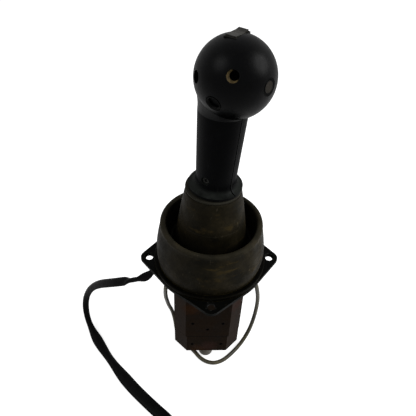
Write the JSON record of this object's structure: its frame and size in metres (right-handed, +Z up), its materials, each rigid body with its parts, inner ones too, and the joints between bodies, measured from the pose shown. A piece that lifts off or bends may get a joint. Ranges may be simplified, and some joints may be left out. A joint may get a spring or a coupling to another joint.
{
  "type": "hydraulic pilot joystick valve",
  "caption": "Pilot control joystick valve with ball grip, push buttons, rocker, double rubber boot, mounting flange, ported block and free cable and harness.",
  "frame": {"origin": "centre of the flange's underside, on the lever's upright axis", "axes": "+Z up along the upright lever, +X to the right and -Y towards the person who looks at the front ear"},
  "size_m": [0.2146, 0.2432, 0.3587],
  "materials": {
    "flange_paint": "black satin paint worn at the edges",
    "body_primer": "red-brown primer with rust stains",
    "block_primer": "red-brown primer with rust stains",
    "dark_rubber": "matt black",
    "plug_steel": "dark phosphated steel",
    "screw_steel": "black oxide",
    "plate_iron": "machined",
    "guide_steel": "turned",
    "bright_steel": "ground",
    "spring_steel": "drawn wire",
    "joint_steel": "forged and zinc plated",
    "disc_steel": "turned",
    "rod_steel": "zinc plated",
    "handle_plastic": "fine satin grain",
    "ball_plastic": "satin, polished by the hand",
    "neck_screw_steel": "worn black zinc",
    "sleeve_brass": "dull tinned brass",
    "switch_black": "black",
    "cap_grey": "grey",
    "cap_black": "glossy black",
    "rocker_grey": "dusty dark grey",
    "pin_steel": "plain",
    "boot_rubber": "weathered olive-brown",
    "ring_metal": "black over corroded yellow zinc",
    "fitting_steel": "pale zinc plate",
    "washer_metal": "bonded seal",
    "cable_grey": "grey-beige sheath",
    "outlet_rubber": "moulded",
    "harness_black": "black tape and sleeve",
    "plug_plastic": "moulded",
    "contact_brass": "tinned brass"
  },
  "bodies": {
    "valve": {"mounting_flange": "flange_paint", "valve_body": "body_primer", "port_block": "block_primer", "block_seals": "dark_rubber", "gallery_plugs": "plug_steel", "block_screws": "screw_steel", "guide_plate": "plate_iron", "plate_screws": "screw_steel", "plunger_guides": "guide_steel", "plunger_seals": "dark_rubber", "joint_base": "joint_steel", "clamp_ring": "ring_metal", "port_fittings": "fitting_steel", "fitting_washers": "washer_metal", "cable_grommets": "dark_rubber", "grey_cable": "cable_grey", "harness_outlet": "outlet_rubber", "harness": "harness_black", "harness_plug": "plug_plastic", "plug_contacts": "contact_brass", "rubber_boot": "boot_rubber", "return_spring_right": "spring_steel", "return_spring_back": "spring_steel", "return_spring_left": "spring_steel", "return_spring_front": "spring_steel", "metering_spring_right": "spring_steel", "metering_spring_back": "spring_steel", "metering_spring_left": "spring_steel", "metering_spring_front": "spring_steel"},
    "spider": {"joint_spider": "bright_steel"},
    "handle": {"joint_yoke": "joint_steel", "actuating_disc": "disc_steel", "disc_locknut": "disc_steel", "lever_rod": "rod_steel", "lever_nut": "rod_steel", "neck_front_shell": "handle_plastic", "neck_rear_shell": "handle_plastic", "neck_screw": "neck_screw_steel", "ball_shell": "ball_plastic", "button_sleeve": "sleeve_brass", "side_switch": "switch_black", "low_switch": "switch_black", "rocker_housing": "switch_black", "rocker_pin": "pin_steel"},
    "side_button": {"side_button": "cap_grey"},
    "low_button": {"low_button": "cap_black"},
    "rocker": {"rocker_paddle": "rocker_grey"},
    "plunger_right": {"plunger_right": "bright_steel"},
    "spool_right": {"spool_right": "bright_steel"},
    "plunger_back": {"plunger_back": "bright_steel"},
    "spool_back": {"spool_back": "bright_steel"},
    "plunger_left": {"plunger_left": "bright_steel"},
    "spool_left": {"spool_left": "bright_steel"},
    "plunger_front": {"plunger_front": "bright_steel"},
    "spool_front": {"spool_front": "bright_steel"}
  },
  "joints": [
    {"name": "tilt_x", "type": "hinge", "parent": "valve", "child": "spider", "pos_m": [0, 0, 0.022], "axis": [1, 0, 0], "range_deg": [-19, 19], "stiffness_Nm_per_rad": 5, "deforming": ["rubber_boot"]},
    {"name": "tilt_y", "type": "hinge", "parent": "spider", "child": "handle", "pos_m": [0, 0, 0.022], "axis": [0, 1, 0], "range_deg": [-19, 19], "stiffness_Nm_per_rad": 5},
    {"name": "plunger_right_slide", "type": "slide", "parent": "valve", "child": "plunger_right", "axis": [0, 0, 1], "range_m": [-0.0076, 0.0076], "deforming": ["return_spring_right", "metering_spring_right"]},
    {"name": "spool_right_slide", "type": "slide", "parent": "valve", "child": "spool_right", "axis": [0, 0, 1], "range_m": [-0.002, 0.002]},
    {"name": "plunger_back_slide", "type": "slide", "parent": "valve", "child": "plunger_back", "axis": [0, 0, 1], "range_m": [-0.0076, 0.0076], "deforming": ["return_spring_back", "metering_spring_back"]},
    {"name": "spool_back_slide", "type": "slide", "parent": "valve", "child": "spool_back", "axis": [0, 0, 1], "range_m": [-0.002, 0.002]},
    {"name": "plunger_left_slide", "type": "slide", "parent": "valve", "child": "plunger_left", "axis": [0, 0, 1], "range_m": [-0.0076, 0.0076], "deforming": ["return_spring_left", "metering_spring_left"]},
    {"name": "spool_left_slide", "type": "slide", "parent": "valve", "child": "spool_left", "axis": [0, 0, 1], "range_m": [-0.002, 0.002]},
    {"name": "plunger_front_slide", "type": "slide", "parent": "valve", "child": "plunger_front", "axis": [0, 0, 1], "range_m": [-0.0076, 0.0076], "deforming": ["return_spring_front", "metering_spring_front"]},
    {"name": "spool_front_slide", "type": "slide", "parent": "valve", "child": "spool_front", "axis": [0, 0, 1], "range_m": [-0.002, 0.002]},
    {"name": "side_button_press", "type": "slide", "parent": "handle", "child": "side_button", "axis": [-0.7135, 0.6953, -0.0866], "range_m": [0, 0.0012], "stiffness_N_per_m": 800},
    {"name": "low_button_press", "type": "slide", "parent": "handle", "child": "low_button", "axis": [0.5463, 0.7788, 0.3083], "range_m": [0, 0.0012], "stiffness_N_per_m": 800},
    {"name": "rocker_tip", "type": "hinge", "parent": "handle", "child": "rocker", "pos_m": [0.00956, -0.00089, 0.22217], "axis": [0.8187, -0.5736, -0.0286], "range_deg": [-8, 8], "stiffness_Nm_per_rad": 0.15}
  ],
  "couplings": [
    {"joint": "plunger_right_slide", "follows": "tilt_y", "m_per_rad": -0.02284},
    {"joint": "spool_right_slide", "follows": "tilt_y", "m_per_rad": -0.006},
    {"joint": "plunger_back_slide", "follows": "tilt_x", "m_per_rad": 0.02284},
    {"joint": "spool_back_slide", "follows": "tilt_x", "m_per_rad": 0.006},
    {"joint": "plunger_left_slide", "follows": "tilt_y", "m_per_rad": 0.02284},
    {"joint": "spool_left_slide", "follows": "tilt_y", "m_per_rad": 0.006},
    {"joint": "plunger_front_slide", "follows": "tilt_x", "m_per_rad": -0.02284},
    {"joint": "spool_front_slide", "follows": "tilt_x", "m_per_rad": -0.006}
  ]
}
